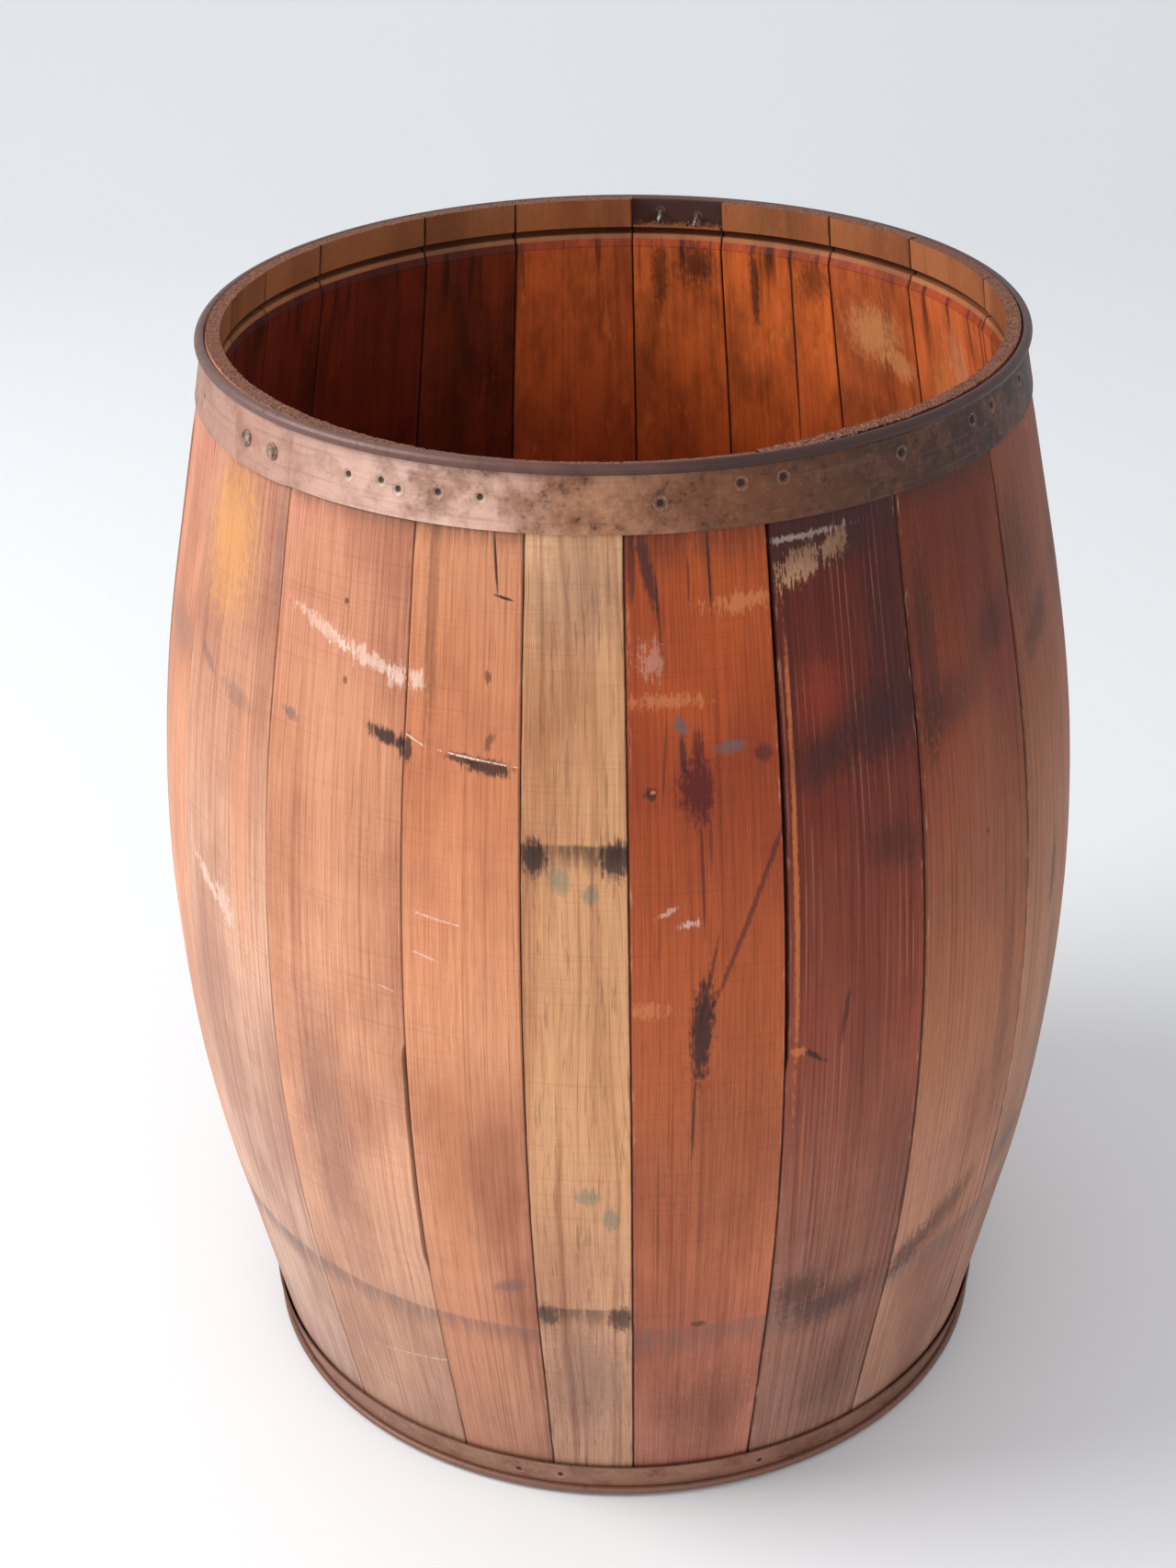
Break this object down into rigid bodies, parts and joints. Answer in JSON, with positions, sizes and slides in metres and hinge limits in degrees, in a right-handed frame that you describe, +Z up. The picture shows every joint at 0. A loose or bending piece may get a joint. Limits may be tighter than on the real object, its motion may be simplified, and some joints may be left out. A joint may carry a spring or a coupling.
{
  "type": "barrel",
  "caption": "Open-topped bulging wooden barrel of edge-to-edge staves, with a boarded bottom head and a beaded steel hoop at each end.",
  "frame": {"origin": "centre of the foot, in the plane of the lower stave ends", "axes": "+Z up along the barrel's axis; -Y is the front, +X to the right seen from the front"},
  "size_m": [0.594, 0.5939, 0.724],
  "materials": {
    "stave_softwood": "old reddish straight-grained softwood, waxed by handling, stained and scratched",
    "stave_pale": "weathered pale tan replacement stave with coarse wavy grain and blue-black hoop stains",
    "head_wood": "dull dusty softwood boards",
    "dowel_wood": "plain unfinished pegs",
    "hoop_steel": "thin mild steel strip with even brown rust and dark pitting",
    "rivet_steel": "flat hammered rivet heads, rusted like the strip",
    "nail_steel": "dark rusted wire nails"
  },
  "bodies": {
    "root": {"stave_01": "stave_softwood", "stave_02": "stave_softwood", "stave_03": "stave_softwood", "stave_04": "stave_softwood", "stave_05": "stave_softwood", "stave_06": "stave_softwood", "stave_07": "stave_softwood", "stave_08": "stave_softwood", "stave_09": "stave_softwood", "stave_10": "stave_softwood", "stave_11": "stave_softwood", "stave_12": "stave_softwood", "stave_13": "stave_softwood", "stave_14": "stave_softwood", "stave_15": "stave_softwood", "stave_16": "stave_softwood", "stave_17": "stave_softwood", "stave_18": "stave_softwood", "stave_19": "stave_softwood", "stave_20": "stave_softwood", "stave_21": "stave_pale", "head_board_1": "head_wood", "head_board_2": "head_wood", "head_board_3": "head_wood", "head_board_4": "head_wood", "head_board_5": "head_wood", "head_dowels": "dowel_wood", "top_hoop": "hoop_steel", "bottom_hoop": "hoop_steel", "top_hoop_rivets": "rivet_steel", "bottom_hoop_rivets": "rivet_steel", "top_hoop_nails": "nail_steel", "bottom_hoop_nails": "nail_steel"}
  },
  "joints": []
}
